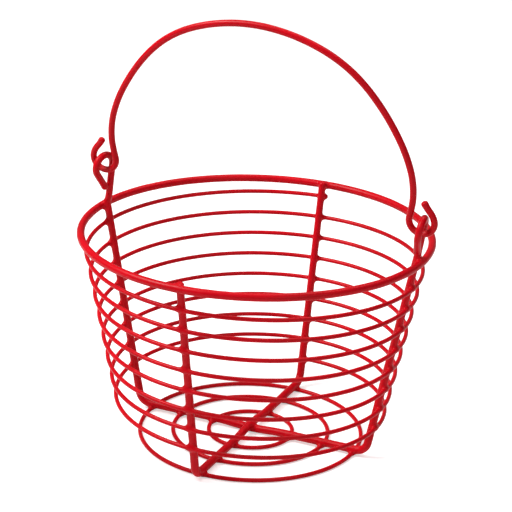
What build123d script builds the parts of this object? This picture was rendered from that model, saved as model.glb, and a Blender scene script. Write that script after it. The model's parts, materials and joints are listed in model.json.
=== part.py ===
from build123d import *
import math
import os

# A round carrying basket of welded steel wire, dipped in plastic, with a bail handle that swings in two eyes.
# Millimetres, +Z up, front at -Y, right at +X. The origin is on the floor at the basket's centre.
# The two eyes stand at +X and -X, and the bail turns about a line through both, close to X.

# ---- wire and skin ----
RIM_STEEL = 4.9          # diameter of the rim's steel
FRAME_STEEL = 4.1        # diameter of the steel in both U frames and in the bail
THIN_STEEL = 2.4         # diameter of the steel in the side spiral and the base rings
RIM_COAT = 0.35          # thickness of the plastic skin on the rim
FRAME_COAT = 0.50        # on the frames, where it gathers between the welds
BAIL_COAT = 0.35         # on the bail
THIN_COAT = 0.35         # on the thin wires
TIP_RATIO = 0.55         # height of the rounded drop on a cut end, as a part of its radius
SET_DOWN = 0.30          # how far crossing wires sink into each other at a weld
CENTRE_SET_DOWN = 1.0    # the same where the two frames cross at the middle of the base
WEAR_FLAT = 0.12         # depth of the flat on the outer base ring's skin, where the basket stands

# Weld nuggets: edge radius, and half the thickness at the middle.
THIN_NUGGET = (1.25, 0.75)
RIM_NUGGET = (1.9, 0.9)
CENTRE_NUGGET = (2.0, 0.9)

# ---- rim, frames and base ----
RIM_RADIUS = 125.0       # rim centreline radius
RIM_RISE = 152.3         # rim centreline above the frames' base centreline
BASE_CORNER = 91.5       # radius at which a frame turns up from the base
BEND_RADIUS = 9.0        # centreline bend radius at that corner
CRIMP_HALF = 29.0        # half length of the shallow offsets where the frames cross
CRIMP_DOWN = 1.2         # the bail frame dips by this much at the crossing
CROSS_TOP = 1.4          # the cross frame's ends stop this far above the rim centreline
RING_RADII = {"outer": 81.8, "middle": 57.3, "inner": 30.9}
RING_LIFT = 0.25         # the middle and inner rings sit this much above the outer one

# ---- side spiral ----
SPIRAL_TURNS = 8
SPIRAL_TOP = 8.6         # upper end of the spiral's centreline, below the rim centreline
SPIRAL_BOTTOM = 16.6     # lower end, above the frames' base centreline
SPIRAL_OVERRUN = 1.5     # degrees that the spiral runs past the upright at each end
SPIRAL_STEPS = 6         # pairs of arcs in each turn
TANGENT_STEP = 0.01      # degrees to either side of a point, to find the spiral's direction

# ---- eyes ----
# The two eyes are hand set and differ. lean: degrees that the leg leans outwards. turn: degrees that
# the eye's plane is turned outwards about its leg. height: loop centre along the leg from the rim.
EYES = {
    "left": {"lean": -6.4, "turn": 15.0, "height": 33.0},
    "right": {"lean": 9.1, "turn": 7.3, "height": 26.9},
}
EYE_RADIUS = 8.5           # loop centreline radius
EYE_LEG_BEND = (1.0, 9.0)  # the leg bends to its own lean between these distances above the rim
EYE_END = (5.3, -17.0)     # free end: away from the leg, and along it from the loop's centre
PIVOT = (8.1, -2.5)        # bail's axis: forward of the leg, and along it from the loop's centre

# ---- bail ----
BAIL_SLIDE = 0.8         # how far the bail sits along its axis, towards the right eye
BAIL_LEAN = 8.8          # degrees that the bail leans forward, towards -Y
HOOK_CENTRE = 122.3      # hook centre from the bail's own middle
HOOK_RADIUS = 9.2        # hook centreline radius
HOOK_TIP = (1.6, 23.4)   # free end: outwards of the hook centre, and above the axis
HOOK_TIP_RUN = (0.50, -0.87)  # direction the wire leaves the free end: outwards, up
HOOK_ANGLES = (14, -90, -192)  # degrees round the hook: start, lowest point, end
# Half the arch, from its kink to its crown: distance from the bail's middle plane, height above
# the axis, and the two parts of the direction it runs in.
BAIL_ARCH = [
    (115.6, 28.0, 0.0, 1.0),
    (105.0, 66.2, -0.466, 0.885),
    (85.7, 94.9, -0.647, 0.762),
    (61.5, 115.8, -0.857, 0.515),
    (32.4, 127.8, -0.967, 0.256),
    (0.0, 132.1, -1.0, 0.0),
]

RED = (0.78, 0.02, 0.07)
STEEL = (0.55, 0.56, 0.58)

# ---- derived ----
RIM_CORE_R = RIM_STEEL / 2
FRAME_CORE_R = FRAME_STEEL / 2
THIN_CORE_R = THIN_STEEL / 2
RIM_SKIN_R = RIM_CORE_R + RIM_COAT
FRAME_SKIN_R = FRAME_CORE_R + FRAME_COAT
BAIL_SKIN_R = FRAME_CORE_R + BAIL_COAT
THIN_SKIN_R = THIN_CORE_R + THIN_COAT

RING_Z = THIN_SKIN_R - WEAR_FLAT
BASE_Z = RING_Z + THIN_CORE_R + FRAME_CORE_R - SET_DOWN
RIM_Z = BASE_Z + RIM_RISE
# Radius of a frame's upright at the height of the rim, and its lean in radians.
UPRIGHT_TOP = RIM_RADIUS - RIM_CORE_R - FRAME_CORE_R + SET_DOWN
LEAN = math.atan2(UPRIGHT_TOP - BASE_CORNER, RIM_RISE)
CRIMP_UP = FRAME_STEEL - CENTRE_SET_DOWN - CRIMP_DOWN
SPIRAL_OUT = (FRAME_CORE_R + THIN_CORE_R - SET_DOWN) / math.cos(LEAN)
SPIRAL_TOP_Z = RIM_Z - SPIRAL_TOP
SPIRAL_BOTTOM_Z = BASE_Z + SPIRAL_BOTTOM


# ---- chains ----
# Every bent wire's centreline is a chain of lines and arcs that meet tangent to each other: a list
# of ("line", start, end) and ("arc", start, middle, end).
def arc_middle(start, end, direction):
    """Middle of the arc that leaves start along direction and stops at end; None if it is straight."""
    chord = end - start
    side = chord - direction * chord.dot(direction)
    if side.length < 1e-6:
        return None
    side = side.normalized()
    radius = chord.dot(chord) / (2 * chord.dot(side))
    half = math.atan2(chord.dot(side), chord.dot(direction))
    return start + side * radius + (direction * math.sin(half) - side * math.cos(half)) * radius


def biarc(start, start_run, end, end_run):
    """Two arcs that join start, leaving along start_run, to end, arriving along end_run."""
    start_run, end_run = start_run.normalized(), end_run.normalized()
    chord = end - start
    run_sum = start_run + end_run
    spread = 1 - start_run.dot(end_run)
    if spread < 1e-9:
        if chord.cross(start_run).length < 1e-6:
            return [("line", start, end)]
        reach = chord.dot(chord) / (4 * chord.dot(end_run))
    else:
        along = chord.dot(run_sum)
        reach = (-along + math.sqrt(along ** 2 + 2 * spread * chord.dot(chord))) / (2 * spread)
    joint = (start + end + (start_run - end_run) * reach) * 0.5
    first = arc_middle(start, joint, start_run)
    second = arc_middle(end, joint, end_run * -1)
    return [
        ("arc", start, first, joint) if first else ("line", start, joint),
        ("arc", joint, second, end) if second else ("line", joint, end),
    ]


def biarcs(knots):
    """A chain of biarcs through a list of (point, direction)."""
    chain = []
    for (start, start_run), (end, end_run) in zip(knots, knots[1:]):
        chain += biarc(start, start_run, end, end_run)
    return chain


def mirrored(chain, normal, origin=Vector(0, 0, 0)):
    """The chain reflected in the plane through origin across normal, and run backwards."""
    def reflect(point):
        return point - normal * (2 * normal.dot(point - origin))

    return [(kind, *map(reflect, points[::-1])) for kind, *points in chain[::-1]]


def path_of(chain):
    return Wire([Line(*points) if kind == "line" else ThreePointArc(*points)
                 for kind, *points in chain])


def around(degrees, radius, z):
    """The point at an angle round the basket's axis, counter-clockwise from +X."""
    angle = math.radians(degrees)
    return Vector(radius * math.cos(angle), radius * math.sin(angle), z)


# ---- frame centrelines ----
def half_frame(crimp, place, upright_end):
    """Half a frame, from the base's middle to upright_end. place puts (radius, height) in space."""
    turn = math.pi / 2 - LEAN
    flat_end = BASE_CORNER - BEND_RADIUS * math.tan(turn / 2)

    def on_bend(angle):
        return place(flat_end + BEND_RADIUS * math.sin(angle),
                     BASE_Z + BEND_RADIUS * (1 - math.cos(angle)))

    along = place(1, 0) - place(0, 0)
    crimp_end = place(CRIMP_HALF, BASE_Z)
    return biarc(place(0, BASE_Z + crimp), along, crimp_end, along) + [
        ("line", crimp_end, place(flat_end, BASE_Z)),
        ("arc", on_bend(0), on_bend(turn / 2), on_bend(turn)),
        ("line", on_bend(turn), upright_end),
    ]


def eye_point(side, away, along):
    """A point in an eye's plane: away from the leg, and along it from the rim centreline's height.

    The plane holds the leg, and is turned about it. Both eyes are given at +X.
    """
    lean, turn = math.radians(EYES[side]["lean"]), math.radians(EYES[side]["turn"])
    leg = Vector(math.sin(lean), 0, math.cos(lean))
    across = Vector(math.cos(lean) * math.sin(turn), -math.cos(turn),
                    -math.sin(lean) * math.sin(turn))
    return Vector(UPRIGHT_TOP, 0, RIM_Z) + leg * along + across * away


def half_bail_frame(side):
    """Half of the frame that carries the eyes, at +X, from the base's middle to the eye's free end."""
    height = EYES[side]["height"]

    def loop(angle):
        return eye_point(side, EYE_RADIUS * (1 + math.cos(angle)),
                         height + EYE_RADIUS * math.sin(angle))

    low_bend, high_bend = EYE_LEG_BEND
    up = Vector(math.sin(LEAN), 0, math.cos(LEAN))
    bend_start = Vector(UPRIGHT_TOP, 0, RIM_Z) + up * low_bend
    bend_end = eye_point(side, 0, high_bend)
    leg = eye_point(side, 0, 1) - eye_point(side, 0, 0)

    # The straight tail leaves the loop along its tangent, at the angle tail.
    end_away, end_along = EYE_END[0] - EYE_RADIUS, EYE_END[1]
    tail = (math.atan2(end_along, end_away)
            + math.acos(EYE_RADIUS / math.hypot(end_away, end_along)))
    top = math.pi / 2

    chain = half_frame(-CRIMP_DOWN, lambda radius, z: Vector(radius, 0, z), bend_start)
    chain += biarc(bend_start, up, bend_end, leg)
    return chain + [
        ("line", bend_end, loop(math.pi)),
        ("arc", loop(math.pi), loop((math.pi + top) / 2), loop(top)),
        ("arc", loop(top), loop((top + tail) / 2), loop(tail)),
        ("line", loop(tail), eye_point(side, EYE_END[0], height + EYE_END[1])),
    ]


def bail_frame_chain():
    return mirrored(half_bail_frame("left"), Vector(1, 0, 0)) + half_bail_frame("right")


def cross_frame_chain():
    top = Vector(0, UPRIGHT_TOP + CROSS_TOP * math.tan(LEAN), RIM_Z + CROSS_TOP)
    half = half_frame(CRIMP_UP, lambda radius, z: Vector(0, radius, z), top)
    return mirrored(half, Vector(0, 1, 0)) + half


# ---- bail centreline ----
def in_eye(side):
    """Where the bail's axis passes through an eye."""
    away = PIVOT[0] / math.cos(math.radians(EYES[side]["turn"]))
    point = eye_point(side, away, EYES[side]["height"] + PIVOT[1])
    return point if side == "right" else Vector(-point.X, point.Y, point.Z)


def bail_chain():
    """The bail in its own leaning plane. Each end is an open hook, a kink, then half of the arch."""
    # The axis runs through both eyes, so it drops slightly towards the lower one.
    left, right = in_eye("left"), in_eye("right")
    axis = (right - left).normalized()
    middle = (right + left) * 0.5 + axis * BAIL_SLIDE
    lean = math.radians(BAIL_LEAN)
    up = Vector(0, -math.sin(lean), 0) + Vector(-axis.Z, 0, axis.X) * math.cos(lean)

    def run(outward, upward):
        return axis * outward + up * upward

    def hook(degrees):
        angle = math.radians(degrees)
        return middle + run(HOOK_CENTRE + HOOK_RADIUS * math.cos(angle),
                            HOOK_RADIUS + HOOK_RADIUS * math.sin(angle))

    def hook_run(degrees):
        angle = math.radians(degrees)
        return run(math.sin(angle), -math.cos(angle))

    start, bottom, end = HOOK_ANGLES
    tip_end = middle + run(HOOK_CENTRE + HOOK_TIP[0], HOOK_TIP[1])
    chain = biarc(tip_end, run(*HOOK_TIP_RUN), hook(start), hook_run(start))
    chain.append(("arc", hook(start), hook((start + bottom) / 2), hook(bottom)))
    chain.append(("arc", hook(bottom), hook((bottom + end) / 2), hook(end)))
    knots = [(hook(end), hook_run(end))]
    for outward, upward, run_out, run_up in BAIL_ARCH:
        knots.append((middle + run(outward, upward), run(run_out, run_up)))
    chain += biarcs(knots)
    return chain + mirrored(chain, axis, middle)


# ---- spiral centreline ----
def spiral_place(turned):
    """Angle, radius and height of the spiral after it has turned that many degrees."""
    z = SPIRAL_TOP_Z + (SPIRAL_BOTTOM_Z - SPIRAL_TOP_Z) * turned / (360 * SPIRAL_TURNS)
    upright = BASE_CORNER + (UPRIGHT_TOP - BASE_CORNER) * (z - BASE_Z) / RIM_RISE
    return 90 + turned, upright + SPIRAL_OUT, z


def spiral_chain():
    """From the top of the back upright, counter-clockwise seen from above, down to its foot."""
    steps = SPIRAL_STEPS * SPIRAL_TURNS
    sweep_angle = 360 * SPIRAL_TURNS + 2 * SPIRAL_OVERRUN
    knots = []
    for i in range(steps + 1):
        turned = -SPIRAL_OVERRUN + sweep_angle * i / steps
        before = around(*spiral_place(turned - TANGENT_STEP))
        after = around(*spiral_place(turned + TANGENT_STEP))
        knots.append((around(*spiral_place(turned)), after - before))
    return biarcs(knots)


# ---- solids ----
def rod(path, radius):
    section = Plane(origin=path @ 0, z_dir=path % 0) * Circle(radius)
    return Solid.sweep(section.face().outer_wire(), path)


def sleeve(outside, core):
    """The plastic skin between two rods on one path: a tube with flat ends."""
    sides = [f for s in (outside, core) for f in s.faces() if f.geom_type != GeomType.PLANE]
    core_caps = [f for f in core.faces() if f.geom_type == GeomType.PLANE]
    ends = []
    for cap in [f for f in outside.faces() if f.geom_type == GeomType.PLANE]:
        near = min(core_caps, key=lambda f: (f.center() - cap.center()).length)
        ends.append(Face(cap.outer_wire(), [near.outer_wire()]))
    return Solid(Shell(sides + ends))


def dome_middle(radius, height):
    """Middle of the arc from a dome's edge (radius, 0) to its crown (0, height)."""
    ball = (radius ** 2 + height ** 2) / (2 * height)
    half = math.asin(radius / ball) / 2
    return ball * math.sin(half), height - ball * (1 - math.cos(half))


def tip(point, direction, radius):
    """The rounded drop of plastic that closes the skin over a cut wire end."""
    height = radius * TIP_RATIO
    arc = ThreePointArc((radius, 0), dome_middle(radius, height), (0, height))
    profile = make_face(Line((0, 0), (radius, 0)) + arc + Line((0, height), (0, 0)))
    return Plane(origin=point, z_dir=direction) * revolve(Plane.XZ * profile, Axis.Z)


def nugget(point, direction, size=THIN_NUGGET):
    """A weld nugget: a small double-convex lens of fused steel where two wires meet."""
    radius, half = size
    x, y = dome_middle(radius, half)
    upper = ThreePointArc((0, half), (x, y), (radius, 0))
    lower = ThreePointArc((radius, 0), (x, -y), (0, -half))
    profile = make_face(upper + lower + Line((0, -half), (0, half)))
    return Plane(origin=point, z_dir=direction) * revolve(Plane.XZ * profile, Axis.Z)


def ring(radius, z, outer, inner=0, flat=0):
    """A hoop: a core, or a skin round one if inner is given, with an optional flat underneath."""
    profile = Circle(outer)
    if inner:
        profile = profile - Circle(inner)
    if flat:
        cut_height = 10
        cutter = Rectangle(4 * outer, cut_height)
        profile = profile - Pos(0, -outer - cut_height / 2 + flat) * cutter
    return revolve(Plane.XZ * (Pos(radius, z) * profile), Axis.Z)


# ---- output ----
def write(name, shape, colour):
    """Writes one piece, given as a shape or a list of shapes."""
    shapes = shape if isinstance(shape, list) else [shape]
    found = [solid for item in shapes for solid in item.solids()]
    out = found[0] if len(found) == 1 else Compound(children=found)
    out.label = name
    out.color = Color(*colour)
    export_step(out, f"parts/{name}.step")


def coated_ring(name, radius, z, core_radius, skin_radius, flat=0):
    write(f"{name}_core", ring(radius, z, core_radius), STEEL)
    write(f"{name}_coating", ring(radius, z, skin_radius, core_radius, flat), RED)


def coated_wire(name, chain, core_radius, skin_radius, tips=True):
    """One wire's core and its skin, with a rounded drop over each cut end."""
    path = path_of(chain)
    core = rod(path, core_radius)
    skin = sleeve(rod(path, skin_radius), core)
    if tips:
        skin = skin + tip(path @ 0, -(path % 0), skin_radius) + tip(path @ 1, path % 1, skin_radius)
    write(f"{name}_core", core, STEEL)
    write(f"{name}_coating", skin, RED)


def base_rings():
    """Three hoops under the frames. The outer one carries the basket on the floor."""
    for name, radius in RING_RADII.items():
        lift, flat = (0, WEAR_FLAT) if name == "outer" else (RING_LIFT, 0)
        coated_ring(f"base_ring_{name}", radius, RING_Z + lift, THIN_CORE_R, THIN_SKIN_R, flat)


# ---- welds ----
QUARTERS = (0, 90, 180, 270)


def rim_welds():
    """Where the four uprights meet the rim."""
    radius = UPRIGHT_TOP + FRAME_CORE_R - SET_DOWN / 2
    return [nugget(around(a, radius, RIM_Z), around(a, 1, 0), RIM_NUGGET) for a in QUARTERS]


def spiral_welds():
    """Where the spiral passes each upright, on its inner side."""
    back = THIN_CORE_R - SET_DOWN / 2
    welds = []
    for crossing in range(4 * SPIRAL_TURNS + 1):
        angle, radius, z = spiral_place(90 * crossing)
        point = around(angle, radius - back * math.cos(LEAN), z + back * math.sin(LEAN))
        welds.append(nugget(point, around(angle, math.cos(LEAN), -math.sin(LEAN))))
    return welds


def base_welds():
    """Where the frames cross the base rings, and each other."""
    z = BASE_Z - FRAME_CORE_R + SET_DOWN / 2
    up = (0, 0, 1)
    welds = [nugget(around(a, radius, z), up) for radius in RING_RADII.values() for a in QUARTERS]
    welds.append(nugget((0, 0, BASE_Z + (CRIMP_UP - CRIMP_DOWN) / 2), up, CENTRE_NUGGET))
    return welds


# ---- the basket ----
os.makedirs("parts", exist_ok=True)

coated_ring("rim", RIM_RADIUS, RIM_Z, RIM_CORE_R, RIM_SKIN_R)
base_rings()
coated_wire("bail_frame", bail_frame_chain(), FRAME_CORE_R, FRAME_SKIN_R)
coated_wire("cross_frame", cross_frame_chain(), FRAME_CORE_R, FRAME_SKIN_R)
# The spiral's ends are cut flat, just past the back upright.
coated_wire("side_spiral", spiral_chain(), THIN_CORE_R, THIN_SKIN_R, tips=False)
coated_wire("bail", bail_chain(), FRAME_CORE_R, BAIL_SKIN_R)
write("rim_welds", rim_welds(), STEEL)
write("spiral_welds", spiral_welds(), STEEL)
write("base_welds", base_welds(), STEEL)
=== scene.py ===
import json
import math
from dataclasses import dataclass

import bpy
import numpy as np
from mathutils import Matrix, Vector


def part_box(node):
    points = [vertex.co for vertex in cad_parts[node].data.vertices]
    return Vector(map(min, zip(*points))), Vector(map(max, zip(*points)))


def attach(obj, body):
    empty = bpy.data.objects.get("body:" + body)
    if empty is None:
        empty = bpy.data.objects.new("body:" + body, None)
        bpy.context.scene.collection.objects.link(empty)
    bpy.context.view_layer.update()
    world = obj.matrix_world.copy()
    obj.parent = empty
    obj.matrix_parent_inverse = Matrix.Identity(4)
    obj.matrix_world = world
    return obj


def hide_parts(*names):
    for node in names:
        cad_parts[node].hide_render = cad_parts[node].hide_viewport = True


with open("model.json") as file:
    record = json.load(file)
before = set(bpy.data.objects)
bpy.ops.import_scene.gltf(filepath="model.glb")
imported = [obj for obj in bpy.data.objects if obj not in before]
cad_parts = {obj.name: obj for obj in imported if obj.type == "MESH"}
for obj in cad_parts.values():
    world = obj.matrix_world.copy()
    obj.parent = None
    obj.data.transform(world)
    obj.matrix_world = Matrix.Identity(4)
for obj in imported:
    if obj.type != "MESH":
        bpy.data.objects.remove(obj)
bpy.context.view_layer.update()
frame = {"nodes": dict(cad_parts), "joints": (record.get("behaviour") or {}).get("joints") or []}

# A round carrying basket of welded steel wire under a dipped plastic skin, with a bail handle in two eyes.
# It stands on z = 0, centred on the Z axis, with the eyes at -X and +X and the bail arching between them.
# Each wire's skin is one swept mesh. Where two wires cross, both skins follow the smooth union of the
# two, so that the plastic runs from one to the other in a web. Lengths are in millimetres until a mesh,
# a light or the camera is placed.

MM_PER_M = 1000.0


def vec(*values):
    return np.array(values, float)


def unit(v):
    return v / np.linalg.norm(v, axis=-1, keepdims=True)


def fade(x, start, end):
    """Smooth step from 0 at start to 1 at end."""
    part = np.clip((x - start) / (end - start), 0, 1)
    return part * part * (3 - 2 * part)


# ---- places measured from the loaded steel ----------------------------------------------------------
def box_mm(name):
    low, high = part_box(name)
    return np.array(low) * MM_PER_M, np.array(high) * MM_PER_M


def measured_hoop(name):
    """Centreline radius, height and steel diameter of a level hoop."""
    low, high = box_mm(name)
    steel_size = high[2] - low[2]
    return (high[0] - low[0] - steel_size) / 2, (high[2] + low[2]) / 2, steel_size


RIM_RADIUS, RIM_Z, RIM_STEEL = measured_hoop("rim_core")
frame_low, frame_high = box_mm("cross_frame_core")
FRAME_STEEL = frame_high[0] - frame_low[0]
BASE_Z = frame_low[2] + FRAME_STEEL / 2
BASE_RINGS = {
    f"base_ring_{place}": measured_hoop(f"base_ring_{place}_core")
    for place in ("outer", "middle", "inner")
}
THIN_STEEL = BASE_RINGS["base_ring_inner"][2]
BAIL_AXIS = unit(np.array(frame["joints"][0]["axis"], float))
BAIL_MIDDLE = np.array(frame["joints"][0]["pos_m"], float) * MM_PER_M

# The two frames: each runs up one side, across the base and up the other side.
SET_DOWN = 0.30             # how far welded wires sink into each other
CENTRE_SET_DOWN = 1.0       # the same where the two frames cross at the middle of the base
BASE_CORNER = 91.5          # radius at which the lines of base and upright meet
BEND_RADIUS = 9.0
CRIMP_HALF = 29.0           # half the length of the offset at the middle of the base
CRIMP_DOWN = 1.2            # drop of the bail frame there
CRIMP_UP = FRAME_STEEL - CENTRE_SET_DOWN - CRIMP_DOWN    # rise of the cross frame there
CROSS_TOP = 1.4             # cross frame's ends above the rim's height
RIM_RISE = RIM_Z - BASE_Z
UPRIGHT_TOP = RIM_RADIUS - RIM_STEEL / 2 - FRAME_STEEL / 2 + SET_DOWN
LEAN = math.atan2(UPRIGHT_TOP - BASE_CORNER, RIM_RISE)

# The spiral outside the uprights, from the top down.
SPIRAL_TURNS = 8
SPIRAL_TOP = 8.6            # its start below the rim
SPIRAL_BOTTOM = 16.6        # its end above the base
SPIRAL_OVERRUN = 1.5        # degrees it runs on past each end
SPIRAL_OUT = (FRAME_STEEL / 2 + THIN_STEEL / 2 - SET_DOWN) / math.cos(LEAN)

# The eyes at the bail frame's ends: outward lean of the leg and outward turn of the plane in degrees,
# and height of the loop's centre above the rim. Left is -X and right is +X.
EYES = {
    "left": dict(lean=-6.4, turn=15.0, rise=33.0),
    "right": dict(lean=9.1, turn=7.3, rise=26.9),
}
EYE_RADIUS = 8.5
EYE_LEG_BEND = (1.0, 9.0)   # start and end of the leg's bend above the rim
EYE_END = (5.3, -17.0)      # wire's end: away from the leg, and along it from the loop's centre

# The bail, in its own plane: x along its axis and h up from it.
BAIL_LEAN = math.radians(8.8)
BAIL_UP = (
    vec(0, -math.sin(BAIL_LEAN), 0)
    + vec(-BAIL_AXIS[2], 0, BAIL_AXIS[0]) * math.cos(BAIL_LEAN)
)
HOOK_CENTRE = 122.3
HOOK_RADIUS = 9.2
HOOK_TIP = (1.6, 23.4)          # x from the hook's centre, and h
HOOK_TIP_HEADING = (0.50, -0.87)
HOOK_START, HOOK_LOWEST, HOOK_END = 14, -90, -192    # degrees round the hook
# x, h, heading in x, heading in h; from the hook to the top
BAIL_ARCH = [
    (115.6, 28.0, 0.0, 1.0),
    (105.0, 66.2, -0.466, 0.885),
    (85.7, 94.9, -0.647, 0.762),
    (61.5, 115.8, -0.857, 0.515),
    (32.4, 127.8, -0.967, 0.256),
    (0.0, 132.1, -1.0, 0.0),
]


# ---- centrelines: chains of lines and arcs that meet tangent ----------------------------------------
# A piece is (start, heading at the start, end).
POINT_STEP = 0.25


def biarc(start, start_way, end, end_way):
    """Two arcs that leave start along start_way and reach end along end_way."""
    start_way, end_way = unit(start_way), unit(end_way)
    chord = end - start
    ways = start_way + end_way
    spread = 1 - start_way @ end_way
    if spread < 1e-9:
        if np.linalg.norm(np.cross(chord, start_way)) < 1e-6:
            return [(start, start_way, end)]
        reach = (chord @ chord) / (4 * (chord @ end_way))
    else:
        along = chord @ ways
        reach = (-along + math.sqrt(along**2 + 2 * spread * (chord @ chord))) / (2 * spread)
    middle = (start + end + (start_way - end_way) * reach) * 0.5
    # the heading at the middle, from the second arc run backwards
    back = middle - end
    middle_way = -(back * 2 * (back @ -end_way) / (back @ back) + end_way)
    return [(start, start_way, middle), (middle, unit(middle_way), end)]


def arc_points(start, way, end):
    """Points and tangents of the arc that leaves start along way and ends at end."""
    chord = end - start
    inward = chord - way * (chord @ way)
    if np.linalg.norm(inward) < 1e-6:
        count = max(2, int(np.linalg.norm(chord) / POINT_STEP) + 1)
        part = np.linspace(0, 1, count)[:, None]
        return start + chord * part, np.repeat(unit(chord)[None], count, 0)
    inward = unit(inward)
    radius = (chord @ chord) / (2 * (chord @ inward))
    turn = 2 * math.atan2(chord @ inward, chord @ way)
    count = max(6, int(abs(radius * turn) / POINT_STEP) + 1)
    angle = np.linspace(0, turn, count)[:, None]
    points = start + inward * radius * (1 - np.cos(angle)) + way * radius * np.sin(angle)
    return points, way * np.cos(angle) + inward * np.sin(angle)


def mirrored(pieces, axis, middle=0.0):
    """The pieces reflected along axis in the plane through middle, and run backwards."""
    out = []
    for start, way, end in pieces[::-1]:
        chord, way = end - start, unit(way)
        end_way = chord * 2 * (chord @ way) / (chord @ chord) - way
        out.append((
            end - axis * (2 * (axis @ (end - middle))),
            -end_way + axis * (2 * (axis @ end_way)),
            start - axis * (2 * (axis @ (start - middle))),
        ))
    return out


class Wire:
    """A centreline: points, unit tangents and the arc length at each point."""

    def __init__(self, points, tangents, lengths=None, closed=False):
        if lengths is None:
            lengths = np.r_[0, np.cumsum(np.linalg.norm(np.diff(points, axis=0), axis=1))]
        self.points, self.tangents, self.lengths = points, tangents, lengths
        self.length, self.closed = lengths[-1], closed

    def at(self, where):
        """Points and tangents at the given arc lengths."""
        point, tangent = (
            np.stack([np.interp(where, self.lengths, values[:, i]) for i in range(3)], 1)
            for values in (self.points, self.tangents)
        )
        return point, unit(tangent)


def chain_wire(pieces):
    points, tangents = [], []
    for start, way, end in pieces:
        piece_points, piece_tangents = arc_points(start, unit(way), end)
        skip = 1 if points else 0
        points.append(piece_points[skip:])
        tangents.append(piece_tangents[skip:])
    return Wire(np.vstack(points), unit(np.vstack(tangents)))


def half_frame(crimp, place, upright_end):
    """Half a frame, from the middle of the base out and up to upright_end. place maps radius, z to 3D."""
    turn = math.pi / 2 - LEAN
    flat_end = BASE_CORNER - BEND_RADIUS * math.tan(turn / 2)

    def on_bend(angle):
        return place(
            flat_end + BEND_RADIUS * math.sin(angle),
            BASE_Z + BEND_RADIUS * (1 - math.cos(angle)),
        )

    along = place(1, 0) - place(0, 0)
    pieces = biarc(place(0, BASE_Z + crimp), along, place(CRIMP_HALF, BASE_Z), along)
    pieces.append((place(CRIMP_HALF, BASE_Z), along, place(flat_end, BASE_Z)))
    pieces.append((on_bend(0), along, on_bend(turn)))
    pieces.append((on_bend(turn), upright_end - on_bend(turn), upright_end))
    return pieces


def eye_point(eye, away, along):
    """A point in the plane of an eye at +X: away from its leg, and along the leg from the rim's height."""
    lean, turn = math.radians(eye["lean"]), math.radians(eye["turn"])
    away_way = vec(
        math.cos(lean) * math.sin(turn), -math.cos(turn), -math.sin(lean) * math.sin(turn)
    )
    leg_way = vec(math.sin(lean), 0, math.cos(lean))
    return vec(UPRIGHT_TOP, 0, RIM_Z) + leg_way * along + away_way * away


def eye_loop(eye, angle):
    return eye_point(
        eye,
        EYE_RADIUS + EYE_RADIUS * math.cos(angle),
        eye["rise"] + EYE_RADIUS * math.sin(angle),
    )


def eye_leave_angle():
    """Where on the loop the straight run to the wire's end leaves it tangent, by bisection."""
    low, high = math.radians(-89), math.radians(10)
    for _ in range(60):
        angle = (low + high) / 2
        away = EYE_END[0] - EYE_RADIUS * (1 + math.cos(angle))
        along = EYE_END[1] - EYE_RADIUS * math.sin(angle)
        if away * math.cos(angle) + along * math.sin(angle) < 0:
            high = angle
        else:
            low = angle
    return angle


def half_bail_frame(eye):
    """Half the bail frame, with its eye, built at +X."""
    rim_up = vec(math.sin(LEAN), 0, math.cos(LEAN))
    bend_start = vec(UPRIGHT_TOP, 0, RIM_Z) + rim_up * EYE_LEG_BEND[0]
    pieces = half_frame(-CRIMP_DOWN, lambda radius, z: vec(radius, 0, z), bend_start)
    leg_up = eye_point(eye, 0, 1) - eye_point(eye, 0, 0)
    over = eye_point(eye, 1, 0) - eye_point(eye, 0, 0)
    bend_end = eye_point(eye, 0, EYE_LEG_BEND[1])
    loop_start, loop_top = eye_loop(eye, math.pi), eye_loop(eye, math.pi / 2)
    loop_end = eye_loop(eye, eye_leave_angle())
    tip = eye_point(eye, EYE_END[0], eye["rise"] + EYE_END[1])
    pieces += biarc(bend_start, rim_up, bend_end, leg_up)
    pieces.append((bend_end, leg_up, loop_start))
    pieces.append((loop_start, leg_up, loop_top))
    pieces.append((loop_top, over, loop_end))
    pieces.append((loop_end, tip - loop_end, tip))
    return pieces


def bail_frame_wire():
    left = mirrored(half_bail_frame(EYES["left"]), vec(1, 0, 0))
    return chain_wire(left + half_bail_frame(EYES["right"]))


def cross_frame_wire():
    top = vec(0, UPRIGHT_TOP + CROSS_TOP * math.tan(LEAN), RIM_Z + CROSS_TOP)
    half = half_frame(CRIMP_UP, lambda radius, z: vec(0, radius, z), top)
    return chain_wire(mirrored(half, vec(0, 1, 0)) + half)


def bail_wire():
    def way(x, h):
        return BAIL_AXIS * x + BAIL_UP * h

    def at(x, h):
        return BAIL_MIDDLE + way(x, h)

    def hook(degrees):
        """Point and heading on the hook."""
        angle = math.radians(degrees)
        point = at(
            HOOK_CENTRE + HOOK_RADIUS * math.cos(angle), HOOK_RADIUS + HOOK_RADIUS * math.sin(angle)
        )
        return point, way(math.sin(angle), -math.cos(angle))

    start, lowest, end = hook(HOOK_START), hook(HOOK_LOWEST), hook(HOOK_END)
    tip = at(HOOK_CENTRE + HOOK_TIP[0], HOOK_TIP[1])
    half = biarc(tip, way(*HOOK_TIP_HEADING), *start)
    half.append((*start, lowest[0]))
    half.append((*lowest, end[0]))
    knots = [end] + [(at(x, h), way(way_x, way_h)) for x, h, way_x, way_h in BAIL_ARCH]
    for knot, next_knot in zip(knots, knots[1:]):
        half += biarc(*knot, *next_knot)
    return chain_wire(half + mirrored(half, BAIL_AXIS, BAIL_MIDDLE))


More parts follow.
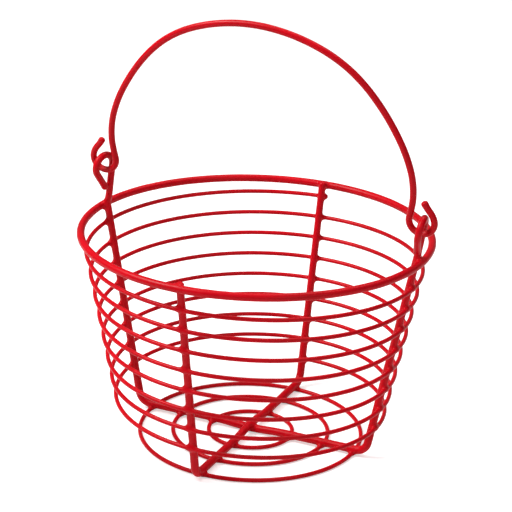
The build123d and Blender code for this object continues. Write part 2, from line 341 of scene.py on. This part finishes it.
def spiral_wire():
    top, bottom = RIM_Z - SPIRAL_TOP, BASE_Z + SPIRAL_BOTTOM
    full_turn = 360 * SPIRAL_TURNS
    turned = np.linspace(-SPIRAL_OVERRUN, full_turn + SPIRAL_OVERRUN, full_turn + 1)

    def at(degrees):
        angle = np.radians(90 + degrees)
        z = top + (bottom - top) * degrees / full_turn
        upright = BASE_CORNER + (UPRIGHT_TOP - BASE_CORNER) * (z - BASE_Z) / RIM_RISE
        radius = upright + SPIRAL_OUT
        return np.stack([radius * np.cos(angle), radius * np.sin(angle), z], 1)

    return Wire(at(turned), unit(at(turned + 0.01) - at(turned - 0.01)))


def ring_wire(radius, z):
    angle = np.linspace(0, 2 * math.pi, max(720, int(radius * 12)) + 1)
    level = np.full(len(angle), z)
    points = np.stack([radius * np.cos(angle), radius * np.sin(angle), level], 1)
    tangents = np.stack([-np.sin(angle), np.cos(angle), np.zeros(len(angle))], 1)
    return Wire(points, tangents, radius * angle, closed=True)


# ---- how thick the plastic is -----------------------------------------------------------------------
WOBBLES = ((46, 0.5), (23, 0.42), (12.5, 0.34), (7.3, 0.22))    # wavelength, size
END_BEAD = 0.16             # how much the plastic swells at a cut end
END_BEAD_LENGTH = 2.6


@dataclass
class Skin:
    wire: Wire
    radius: object          # a number, or a function of points
    seed: int
    unevenness: float
    around: int             # points round the wire
    body: str = "basket"


def wobble(lengths, theta, seed, wire):
    """Slow unevenness of the skin, between about -1 and 1. It repeats round a closed hoop."""
    rng = np.random.default_rng(seed)
    out = np.zeros(np.broadcast(lengths, theta).shape)
    for wavelength, size in WOBBLES:
        for lobes in (0, 1, 2):
            rate = rng.uniform(0.85, 1.2) / wavelength
            if wire.closed:
                rate = max(1, round(rate * wire.length)) / wire.length
            phase = rng.uniform(0, 2 * math.pi)
            out = out + size * (0.62 if lobes else 0.8) * np.sin(
                2 * math.pi * rate * lengths + lobes * theta + phase
            )
    return out / 1.6


def frame_radius(points):
    """Skin radius on a frame: thinner by the rim and the eyes, thicker low on the uprights."""
    z = points[:, 2]
    out_from_middle = np.hypot(points[:, 0], points[:, 1])
    high = fade(z, RIM_Z - 4, RIM_Z + 12)
    low = 1 - fade(z, BASE_Z + 8, RIM_Z - 20)
    corner = fade(out_from_middle, 60, 84) * (1 - fade(z, 5, 30))
    return 2.70 + 0.24 * low - 0.12 * high + 0.06 * corner


def skin_radius(skin, lengths):
    if callable(skin.radius):
        radius = skin.radius(skin.wire.at(lengths)[0])
    else:
        radius = np.full(len(lengths), skin.radius)
    if not skin.wire.closed:
        # plastic draws up into a bead round each cut end
        from_end = np.minimum(lengths, skin.wire.length - lengths)
        radius = radius + END_BEAD * np.exp(-((from_end / END_BEAD_LENGTH) ** 2))
    return radius


# ---- distances --------------------------------------------------------------------------------------
def nearest(points, targets):
    """Distance from each point to the nearest target."""
    out = np.empty(len(points))
    for i in range(0, len(points), 1500):
        apart = points[i : i + 1500, None, :] - targets[None]
        out[i : i + 1500] = np.sqrt((apart**2).sum(2)).min(1)
    return out


def distance_to(points, starts, ends, start_radii, end_radii):
    """Signed distance from points to the skin round a run of wire segments."""
    runs = ends - starts
    squares = np.maximum((runs * runs).sum(1), 1e-12)
    best = np.full(len(points), 1e9)
    for i in range(0, len(points), 6000):
        offset = points[i : i + 6000][:, None, :] - starts[None]
        part = np.clip((offset * runs[None]).sum(2) / squares[None], 0, 1)
        apart = offset - part[:, :, None] * runs[None]
        radius = start_radii[None] + (end_radii - start_radii)[None] * part
        best[i : i + 6000] = (np.sqrt((apart * apart).sum(2)) - radius).min(1)
    return best


def web_union(first, second):
    """Smooth minimum of two distances, rounded over the size of the web."""
    blend = np.maximum(WEB - np.abs(first - second), 0) / WEB
    return np.minimum(first, second) - blend * blend * WEB * 0.25


# ---- sweeping ---------------------------------------------------------------------------------------
WEB = 3.4                   # size of the plastic web between two crossing wires
OVERLAP = 0.35              # how far each skin runs on past the line where the two meet
WEB_REACH = WEB + 1.0       # gap between skins within which a web is looked for
RUN_MARGIN = 11.0           # how far past a run of rings the other wires still count
OWN_MARGIN = 12             # rings of the wire itself kept each side of a run
MARCH_STEP, MARCH_COUNT = 0.16, 20    # outward search for a web's surface
MARCH_LIMIT = 3.2           # how far above the bare skin it may lie
NORMAL_STEP = 0.04          # offset for the web's surface normals
SAMPLE = 0.8                # spacing at which ring spacing is worked out
OTHER_SAMPLE = 0.7          # spacing of points on the other wires
COARSE_STEP, CLOSE_STEP = ((1.7, 0.42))
DOME = np.radians([18, 36, 52, 66, 78])    # rings that shrink over a cut end
DOME_HEIGHT = 0.72          # of the skin's radius


def stations(wire, others):
    """Arc lengths of the skin's rings, closer together near crossings, in bends and at ends."""
    sample = np.arange(0, wire.length, SAMPLE)
    points, _ = wire.at(sample)
    near = np.full(len(sample), 1e9)
    for other in others:
        targets = other.wire.points
        skip = max(1, int(1.0 / (other.wire.length / len(targets))))
        near = np.minimum(near, nearest(points, targets[::skip]))
    turning = np.linalg.norm(np.gradient(wire.tangents, axis=0), axis=1)
    curve = turning / np.maximum(np.gradient(wire.lengths), 1e-9)
    bend = np.interp(sample, wire.lengths, curve)
    step = CLOSE_STEP + (COARSE_STEP - CLOSE_STEP) * fade(near, 7.0, 11.0)
    step = np.minimum(step, np.maximum(0.16 / np.maximum(bend, 1e-6), 0.5))
    if not wire.closed:
        from_end = np.minimum(sample, wire.length - sample)
        step = np.minimum(step, 0.4 + from_end * 0.12)
    rings = np.r_[0, np.cumsum(SAMPLE / step)]
    count = int(math.ceil(rings[-1]))
    grid = np.interp(np.linspace(0, rings[-1], count + 1), rings, np.r_[sample, wire.length])
    grid[-1] = wire.length
    return grid[:-1] if wire.closed else grid


def ring_stack(skin, others):
    """Centre, tangent, arc length, radius and shrinkage of each ring, with a dome on each cut end."""
    wire = skin.wire
    lengths = stations(wire, others)
    centres, tangents = wire.at(lengths)
    radii = skin_radius(skin, lengths)
    if wire.closed:
        return centres, tangents, lengths, radii, np.ones(len(radii))
    first, last = radii[0] * DOME_HEIGHT, radii[-1] * DOME_HEIGHT
    rise, extra = np.sin(DOME), len(DOME)
    shrink = np.r_[np.cos(DOME)[::-1], np.ones(len(radii)), np.cos(DOME)]
    centres = np.vstack([
        (centres[0] - tangents[0] * first * rise[:, None])[::-1],
        centres,
        centres[-1] + tangents[-1] * last * rise[:, None],
    ])
    tangents = np.vstack([
        np.repeat(tangents[:1], extra, 0), tangents, np.repeat(tangents[-1:], extra, 0)
    ])
    lengths = np.r_[(-first * rise)[::-1], lengths, wire.length + last * rise]
    radii = np.r_[np.full(extra, radii[0]), radii, np.full(extra, radii[-1])] * shrink
    return centres, tangents, lengths, radii, shrink


def square_directions(wire, tangents):
    """A direction square to the wire at each ring that twists as little as possible."""
    if wire.closed:
        return np.tile(vec(0, 0, 1), (len(tangents), 1))
    out = np.zeros_like(tangents)
    start = vec(0, 0, 1) if abs(tangents[0][2]) < 0.9 else vec(1, 0, 0)
    out[0] = unit(start - tangents[0] * (start @ tangents[0]))
    for i in range(1, len(tangents)):
        square = out[i - 1] - tangents[i] * (out[i - 1] @ tangents[i])
        out[i] = square / math.sqrt(square @ square)
    return out


def grid_normals(grid, closed):
    """Outward normals of a swept grid of points."""
    if closed:
        along = np.roll(grid, -1, 0) - np.roll(grid, 1, 0)
    else:
        along = np.empty_like(grid)
        along[1:-1] = grid[2:] - grid[:-2]
        along[0], along[-1] = grid[1] - grid[0], grid[-1] - grid[-2]
    across = np.roll(grid, -1, 1) - np.roll(grid, 1, 1)
    return unit(np.cross(across, along))


def webbed_radius(centre, way, bare, segments):
    """Radius of the webbed skin at each point, which points it changes, and the union's depth there."""

    def to_others(radius, pick):
        return distance_to(centre[pick] + way[pick] * radius[:, None], *segments)

    def past_seam(radius, pick):
        return (radius - bare[pick]) - to_others(radius, pick) - OVERLAP > 0

    def past_surface(radius, pick):
        own, gap = radius - bare[pick], to_others(radius, pick)
        return (web_union(own, gap) >= 0) | (own - gap - OVERLAP >= 0)

    def bisect(past, low, high, pick, times):
        for _ in range(times):
            middle = (low + high) / 2
            stop = past(middle, pick)
            low, high = np.where(stop, low, middle), np.where(stop, middle, high)
        return low, high

    out = bare.copy()
    gap = to_others(bare, np.arange(len(bare)))
    depth = web_union(np.zeros(len(bare)), gap)
    buried = -gap - OVERLAP > 0
    webbed = ~buried & (depth < -1e-3)

    # points inside another skin draw back to the seam
    inner = np.nonzero(buried)[0]
    out[inner], _ = bisect(past_seam, 0.15 * bare[inner], bare[inner], inner, 11)

    # points under a web move out to its surface
    outer = np.nonzero(webbed)[0]
    low = bare[outer]
    high = low + MARCH_LIMIT
    live = np.ones(len(outer), bool)
    for j in range(1, MARCH_COUNT + 1):
        still = np.nonzero(live)[0]
        radius = bare[outer[still]] + MARCH_STEP * j
        stop = past_surface(radius, outer[still])
        low[still[~stop]] = radius[~stop]
        high[still[stop]] = radius[stop]
        live[still[stop]] = False
    low, high = bisect(past_surface, low, high, outer, 7)
    out[outer] = (low + high) / 2
    return out, np.nonzero(buried | webbed)[0], depth


def union_normals(at, bare, own_line, segments):
    """Normals of the smooth union, so that shading runs on from one skin to the other."""
    zero = np.zeros(len(own_line) - 1)
    gradient = np.zeros((len(at), 3))
    for axis in range(3):
        nudge = np.zeros(3)
        nudge[axis] = NORMAL_STEP
        ahead, behind = (
            web_union(
                distance_to(at + sign * nudge, own_line[:-1], own_line[1:], zero, zero) - bare,
                distance_to(at + sign * nudge, *segments),
            )
            for sign in (1, -1)
        )
        gradient[:, axis] = ahead - behind
    return unit(gradient + 1e-12)


def sweep(name):
    """Grid of skin points with normals and web mask, and the rings' centres, tangents and radii."""
    skin = SKINS[name]
    others = [o for key, o in SKINS.items() if key != name and o.body == skin.body]
    around = skin.around
    centres, tangents, lengths, radii, shrink = ring_stack(skin, others)
    square = square_directions(skin.wire, tangents)[:, None, :]
    side = np.cross(tangents[:, None, :], square)
    theta = np.linspace(0, 2 * math.pi, around, endpoint=False)
    direction = square * np.cos(theta)[None, :, None] + side * np.sin(theta)[None, :, None]
    lump = wobble(lengths[:, None], theta[None, :], skin.seed, skin.wire) * skin.unevenness
    bare = radii[:, None] + lump * shrink[:, None]
    bare_normal = grid_normals(centres[:, None, :] + direction * bare[:, :, None], skin.wire.closed)
    webbed, normal, web = bare.copy(), bare_normal.copy(), np.zeros(bare.shape)

    near_rings = np.zeros(len(bare), bool)
    neighbours = []
    for other in others:
        other_lengths = np.arange(0, other.wire.length + 1e-9, OTHER_SAMPLE)
        line, _ = other.wire.at(other_lengths)
        other_radii = skin_radius(other, other_lengths)
        close = nearest(centres, line) < radii + other_radii.max() + WEB_REACH
        near_rings |= close
        neighbours.append((line, other_radii, close))

    # each run of rings that comes near another wire
    for a, b in np.flatnonzero(np.diff(np.r_[0, near_rings, 0])).reshape(-1, 2):
        middle = (centres[a] + centres[b - 1]) / 2
        size = np.linalg.norm(centres[b - 1] - centres[a]) / 2 + RUN_MARGIN
        parts = []
        for line, other_radii, close in neighbours:
            if close[a:b].any():
                inside = np.linalg.norm(line - middle, axis=1) < size
                i = np.nonzero(inside[:-1] | inside[1:])[0]
                parts.append((line[i], line[i + 1], other_radii[i], other_radii[i + 1]))
        segments = [np.concatenate(values) for values in zip(*parts)]
        centre = np.repeat(centres[a:b], around, 0)
        way = direction[a:b].reshape(-1, 3)
        run_bare = bare[a:b].reshape(-1)
        out, pick, depth = webbed_radius(centre, way, run_bare, segments)
        own_line = centres[max(0, a - OWN_MARGIN) : b + OWN_MARGIN]
        at = (centre + way * out[:, None])[pick]
        union = union_normals(at, run_bare[pick], own_line, segments)
        tilt = bare_normal[a:b].reshape(-1, 3)[pick] - way[pick]
        block = normal[a:b].reshape(-1, 3)
        block[pick] = unit(union + tilt)
        normal[a:b] = block.reshape(b - a, around, 3)
        webbed[a:b] = out.reshape(b - a, around)
        # the web mask, which the shader uses to paint shade into the crevices between crossing wires
        web[a:b] = np.clip(-depth / (WEB * 0.25), 0, 1).reshape(b - a, around)
    grid = centres[:, None, :] + direction * webbed[:, :, None]
    return grid, normal, web, centres, tangents, radii


def rubbed(points):
    """Where the skin gets rubbed: where it rests on the floor, and where the hooks hang in the eyes."""
    out = (1 - fade(points[:, 2], 0.0, 0.8)) * 0.9
    for side in (-1, 1):
        contact = BAIL_MIDDLE + BAIL_AXIS * side * (HOOK_CENTRE - 0.5)
        near = np.linalg.norm(points - contact, axis=1)
        out = np.maximum(out, 0.55 * (1 - fade(near, 2.5, 7.5)))
    return out


def write_skin(name, material):
    skin = SKINS[name]
    closed = skin.wire.closed
    grid, normal, web, centres, tangents, radii = sweep(name)
    rows, cols = grid.shape[:2]
    # what rests on the floor is pressed flat
    flat = grid[:, :, 2] < 0.0
    grid[:, :, 2] = np.maximum(grid[:, :, 2], 0.0)
    normal[flat] = (0, 0, -1)
    points, normals, webs = grid.reshape(-1, 3), normal.reshape(-1, 3), web.reshape(-1)

    row, col = np.meshgrid(np.arange(rows if closed else rows - 1), np.arange(cols), indexing="ij")
    this_row, next_row, next_col = row * cols, (row + 1) % rows * cols, (col + 1) % cols
    corners = [this_row + next_col, next_row + next_col, next_row + col, this_row + col]
    faces = np.stack(corners, -1).reshape(-1, 4).tolist()
    if not closed:
        # a point closes each dome
        start_tip = len(points)
        last = (rows - 1) * cols
        beyond = DOME_HEIGHT * (1 - math.sin(DOME[-1]))
        extra = len(DOME)
        points = np.vstack([
            points,
            centres[0] - tangents[0] * (radii[extra] * beyond),
            centres[-1] + tangents[-1] * (radii[-1 - extra] * beyond),
        ])
        normals = np.vstack([normals, -tangents[0], tangents[-1]])
        webs = np.r_[webs, 0, 0]
        for k in range(cols):
            after = (k + 1) % cols
            faces.append((after, k, start_tip))
            faces.append((last + k, last + after, start_tip + 1))

    label = f"{name}_skin"
    mesh = bpy.data.meshes.new(label)
    mesh.from_pydata((points / MM_PER_M).tolist(), [], faces)
    mesh.polygons.foreach_set("use_smooth", np.ones(len(mesh.polygons), bool))
    # the web mask carries painted shade for the crevices between crossing wires; the wear mask marks real
    # rubbing
    for key, values in (("web", webs), ("wear", rubbed(points))):
        attribute = mesh.attributes.new(key, "FLOAT", "POINT")
        attribute.data.foreach_set("value", values.astype(np.float32))
    mesh.update()
    mesh.normals_split_custom_set_from_vertices(normals.tolist())
    mesh.update()
    obj = bpy.data.objects.new(label, mesh)
    bpy.context.scene.collection.objects.link(obj)
    obj.data.materials.append(material)
    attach(obj, skin.body)
    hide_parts(f"{name}_coating")


# ---- materials --------------------------------------------------------------------------------------
def node(tree, kind, **values):
    """A new node; each value goes to the input of that name, or else to the property."""
    new = tree.nodes.new(kind)
    for key, value in values.items():
        if key in new.inputs:
            new.inputs[key].default_value = value
        else:
            setattr(new, key, value)
    return new


def noise(tree, where, **values):
    new = node(tree, "ShaderNodeTexNoise", **values)
    tree.links.new(where, new.inputs["Vector"])
    return new.outputs["Fac"]


def remap(tree, source, span, to):
    keys = ("From Min", "From Max", "To Min", "To Max")
    new = node(tree, "ShaderNodeMapRange", **dict(zip(keys, (*span, *to))))
    tree.links.new(source, new.inputs["Value"])
    return new.outputs["Result"]


def mix_colour(tree, factor, first, second):
    new = node(tree, "ShaderNodeMix", data_type="RGBA")
    tree.links.new(factor, new.inputs[0])
    for socket, value in ((new.inputs[6], first), (new.inputs[7], second)):
        if isinstance(value, tuple):
            socket.default_value = value
        else:
            tree.links.new(value, socket)
    return new.outputs[2]


def bump(tree, height, strength, distance):
    new = node(tree, "ShaderNodeBump", Strength=strength, Distance=distance)
    tree.links.new(height, new.inputs["Height"])
    return new


def new_material(name):
    """A material with one Principled shader; also its tree, the shader and object coordinates."""
    material = bpy.data.materials.new(name)
    material.use_nodes = True
    tree = material.node_tree
    tree.nodes.clear()
    out = tree.nodes.new("ShaderNodeOutputMaterial")
    shader = tree.nodes.new("ShaderNodeBsdfPrincipled")
    tree.links.new(shader.outputs["BSDF"], out.inputs["Surface"])
    coords = tree.nodes.new("ShaderNodeTexCoord")
    return material, tree, shader, coords.outputs["Object"]


RED = (0.600, 0.0006, 0.0080, 1)
DEEP_RED = (0.500, 0.0004, 0.0055, 1)
PALE_RED = (0.680, 0.0020, 0.0120, 1)
SCUFFED_RED = (0.62, 0.10, 0.11, 1)


def plastic(name, offset):
    """Dipped PVC: soft gloss, slight orange peel, and a dull bloom where rubbed. Offset moves the pattern."""
    material, tree, shader, coords = new_material(name)
    link = tree.links.new
    shift = node(tree, "ShaderNodeVectorMath", operation="ADD")
    shift.inputs[1].default_value = offset
    link(coords, shift.inputs[0])
    where = shift.outputs["Vector"]
    slow = noise(tree, where, Scale=26, Detail=3, Roughness=0.5)
    mid = noise(tree, where, Scale=120, Detail=3, Roughness=0.55)
    peel = noise(tree, where, Scale=520, Detail=2, Roughness=0.5)
    fine = noise(tree, where, Scale=2600, Detail=2, Roughness=0.6)
    wear = node(tree, "ShaderNodeAttribute", attribute_name="wear").outputs["Fac"]
    web = node(tree, "ShaderNodeAttribute", attribute_name="web").outputs["Fac"]

    tone = mix_colour(tree, remap(tree, slow, span=(0.38, 0.66), to=(0.0, 1.0)), RED, DEEP_RED)
    tone = mix_colour(tree, remap(tree, mid, span=(0.50, 0.75), to=(0.0, 0.35)), tone, PALE_RED)
    # painted shade: the webs in the crevices between crossing wires are darkened towards the deeper red
    tone = mix_colour(tree, remap(tree, web, span=(0.0, 1.0), to=(0.0, 0.45)), tone, DEEP_RED)
    scuff = node(tree, "ShaderNodeMath", operation="MULTIPLY")
    link(wear, scuff.inputs[0])
    link(remap(tree, fine, span=(0.42, 0.62), to=(0.15, 1.0)), scuff.inputs[1])
    tone = mix_colour(tree, scuff.outputs[0], tone, SCUFFED_RED)
    link(tone, shader.inputs["Base Color"])

    # roughness: a slight variation, plus the scuffing
    rough = node(tree, "ShaderNodeMath", operation="ADD")
    link(remap(tree, mid, span=(0.3, 0.7), to=(0.30, 0.40)), rough.inputs[0])
    worn = node(tree, "ShaderNodeMath", operation="MULTIPLY")
    worn.inputs[1].default_value = 0.30
    link(scuff.outputs[0], worn.inputs[0])
    link(worn.outputs[0], rough.inputs[1])
    link(rough.outputs[0], shader.inputs["Roughness"])
    shader.inputs["IOR"].default_value = 1.46
    shader.inputs["Specular IOR Level"].default_value = 0.15
    shader.inputs["Subsurface Weight"].default_value = 0.04
    shader.inputs["Subsurface Radius"].default_value = (1.0, 0.15, 0.12)
    shader.inputs["Subsurface Scale"].default_value = 0.0008

    peel_bump = bump(tree, peel, strength=0.55, distance=0.00006)
    fine_bump = bump(tree, fine, strength=0.30, distance=0.00001)
    link(peel_bump.outputs["Normal"], fine_bump.inputs["Normal"])
    link(fine_bump.outputs["Normal"], shader.inputs["Normal"])
    return material


def steel(name, colour, roughness, grain):
    """Bare steel with a dark mottle and a fine grain."""
    material, tree, shader, coords = new_material(name)
    link = tree.links.new
    mottle = noise(tree, coords, Scale=220, Detail=5.0, Roughness=0.6)
    streak = noise(tree, coords, Scale=grain, Detail=3.0, Roughness=0.7)
    dark = tuple(channel * 0.55 for channel in colour[:3]) + (1,)
    tone = mix_colour(tree, remap(tree, mottle, span=(0.4, 0.7), to=(0.0, 1.0)), colour, dark)
    link(tone, shader.inputs["Base Color"])
    shader.inputs["Metallic"].default_value = 1.0
    rough = remap(tree, streak, span=(0.3, 0.7), to=(roughness - 0.08, roughness + 0.12))
    link(rough, shader.inputs["Roughness"])
    grain_bump = bump(tree, streak, strength=0.4, distance=0.00002)
    link(grain_bump.outputs["Normal"], shader.inputs["Normal"])
    return material


basket_skin = plastic("dipped_red_plastic", offset=(0.0, 0.0, 0.0))
bail_skin = plastic("bail_red_plastic", offset=(0.37, 0.11, 0.23))
wire_steel = steel("drawn_wire_steel", (0.56, 0.57, 0.58, 1), roughness=0.38, grain=1400)
weld_steel = steel("fused_weld_steel", (0.36, 0.35, 0.35, 1), roughness=0.52, grain=900)

# ---- the wires --------------------------------------------------------------------------------------
THIN_SKIN = dict(radius=1.56, unevenness=0.035, around=22)
FRAME_SKIN = dict(radius=frame_radius, unevenness=0.07, around=30)
SKINS = {
    "rim": Skin(ring_wire(RIM_RADIUS, RIM_Z), radius=2.82, seed=11, unevenness=0.055, around=32),
    "bail_frame": Skin(bail_frame_wire(), seed=23, **FRAME_SKIN),
    "cross_frame": Skin(cross_frame_wire(), seed=37, **FRAME_SKIN),
    "side_spiral": Skin(spiral_wire(), seed=41, **THIN_SKIN),
}
for seed, (name, (radius, z, _)) in enumerate(BASE_RINGS.items(), start=51):
    SKINS[name] = Skin(ring_wire(radius, z), seed=seed, **THIN_SKIN)
SKINS["bail"] = Skin(bail_wire(), radius=2.38, seed=71, unevenness=0.03, around=30, body="bail")

for name in SKINS:
    write_skin(name, bail_skin if name == "bail" else basket_skin)

for name, obj in frame["nodes"].items():
    if name.endswith(("_core", "_welds")):
        obj.data.materials.clear()
        obj.data.materials.append(weld_steel if name.endswith("_welds") else wire_steel)


# ---- floor, light and camera ------------------------------------------------------------------------
def studio_floor():
    bpy.ops.mesh.primitive_plane_add(size=8.0, location=(0, 0, -0.0002))
    floor = bpy.context.object
    floor.name = "studio_floor"
    material = bpy.data.materials.new("studio_floor_paper")
    material.use_nodes = True
    tree = material.node_tree
    shader = tree.nodes["Principled BSDF"]
    coords = tree.nodes.new("ShaderNodeTexCoord")
    grain = noise(tree, coords.outputs["Object"], Scale=900, Detail=3.0)
    paper = mix_colour(tree, grain, (0.86, 0.86, 0.86, 1), (0.84, 0.84, 0.84, 1))
    tree.links.new(paper, shader.inputs["Base Color"])
    shader.inputs["Roughness"].default_value = 0.9
    shader.inputs["Specular IOR Level"].default_value = 0.1
    # a glow that only the camera sees keeps the sheet white right to its far edge
    seen = tree.nodes.new("ShaderNodeLightPath")
    glow = node(tree, "ShaderNodeMath", operation="MULTIPLY")
    glow.inputs[1].default_value = 0.52
    tree.links.new(seen.outputs["Is Camera Ray"], glow.inputs[0])
    tree.links.new(glow.outputs[0], shader.inputs["Emission Strength"])
    shader.inputs["Emission Color"].default_value = (1, 1, 1, 1)
    floor.data.materials.append(material)


def softbox(name, at, width, height, power):
    """A rectangular light aimed at the basket; place and size in metres, power in watts."""
    light = bpy.data.lights.new(name, "AREA")
    light.shape = "RECTANGLE"
    light.size, light.size_y, light.energy = width, height, power
    obj = bpy.data.objects.new(name, light)
    bpy.context.scene.collection.objects.link(obj)
    obj.location = at
    aim = Vector((0, 0, 0.13)) - Vector(at)
    obj.rotation_euler = aim.to_track_quat("-Z", "Y").to_euler()


def place_camera(azimuth, elevation, roll, distance, aim_right, aim_z, lens):
    """Angles in degrees, azimuth from -Y towards +X; distances and lens in millimetres."""
    azimuth, elevation, roll = (math.radians(x) for x in (azimuth, elevation, roll))
    back = vec(
        math.sin(azimuth) * math.cos(elevation),
        -math.cos(azimuth) * math.cos(elevation),
        math.sin(elevation),
    )
    right = vec(math.cos(azimuth), math.sin(azimuth), 0)
    up = np.cross(back, right)
    rolled_right = math.cos(roll) * right + math.sin(roll) * up
    rolled_up = -math.sin(roll) * right + math.cos(roll) * up
    aim = vec(aim_right * math.cos(azimuth), aim_right * math.sin(azimuth), aim_z)
    at = (aim + back * distance) / MM_PER_M
    data = bpy.data.cameras.new("camera")
    data.sensor_width = 36.0
    data.lens = lens
    data.clip_start, data.clip_end = 0.05, 30
    camera = bpy.data.objects.new("camera", data)
    bpy.context.scene.collection.objects.link(camera)
    matrix = Matrix.Identity(4)
    for i in range(3):
        matrix[i][:] = rolled_right[i], rolled_up[i], back[i], at[i]
    camera.matrix_world = matrix
    bpy.context.scene.camera = camera


studio_floor()

world = bpy.data.worlds.new("studio")
bpy.context.scene.world = world
world.use_nodes = True
background = world.node_tree.nodes["Background"]
background.inputs["Color"].default_value = (1.0, 1.0, 1.0, 1)
background.inputs["Strength"].default_value = 0.16

softbox("key", at=(-0.95, -0.55, 1.45), width=0.8, height=0.6, power=31)
softbox("fill", at=(1.3, -1.1, 0.9), width=1.2, height=1.0, power=5)
softbox("top", at=(0.1, 0.5, 1.7), width=1.4, height=1.4, power=13)

place_camera(
    azimuth=24.054, elevation=20.467, roll=1.80, distance=1348.15,
    aim_right=0.096, aim_z=138.79, lens=132.305625,
)
view = bpy.context.scene.view_settings
view.view_transform = "Standard"
view.look = "None"
view.exposure = 0.0

bpy.context.view_layer.update()
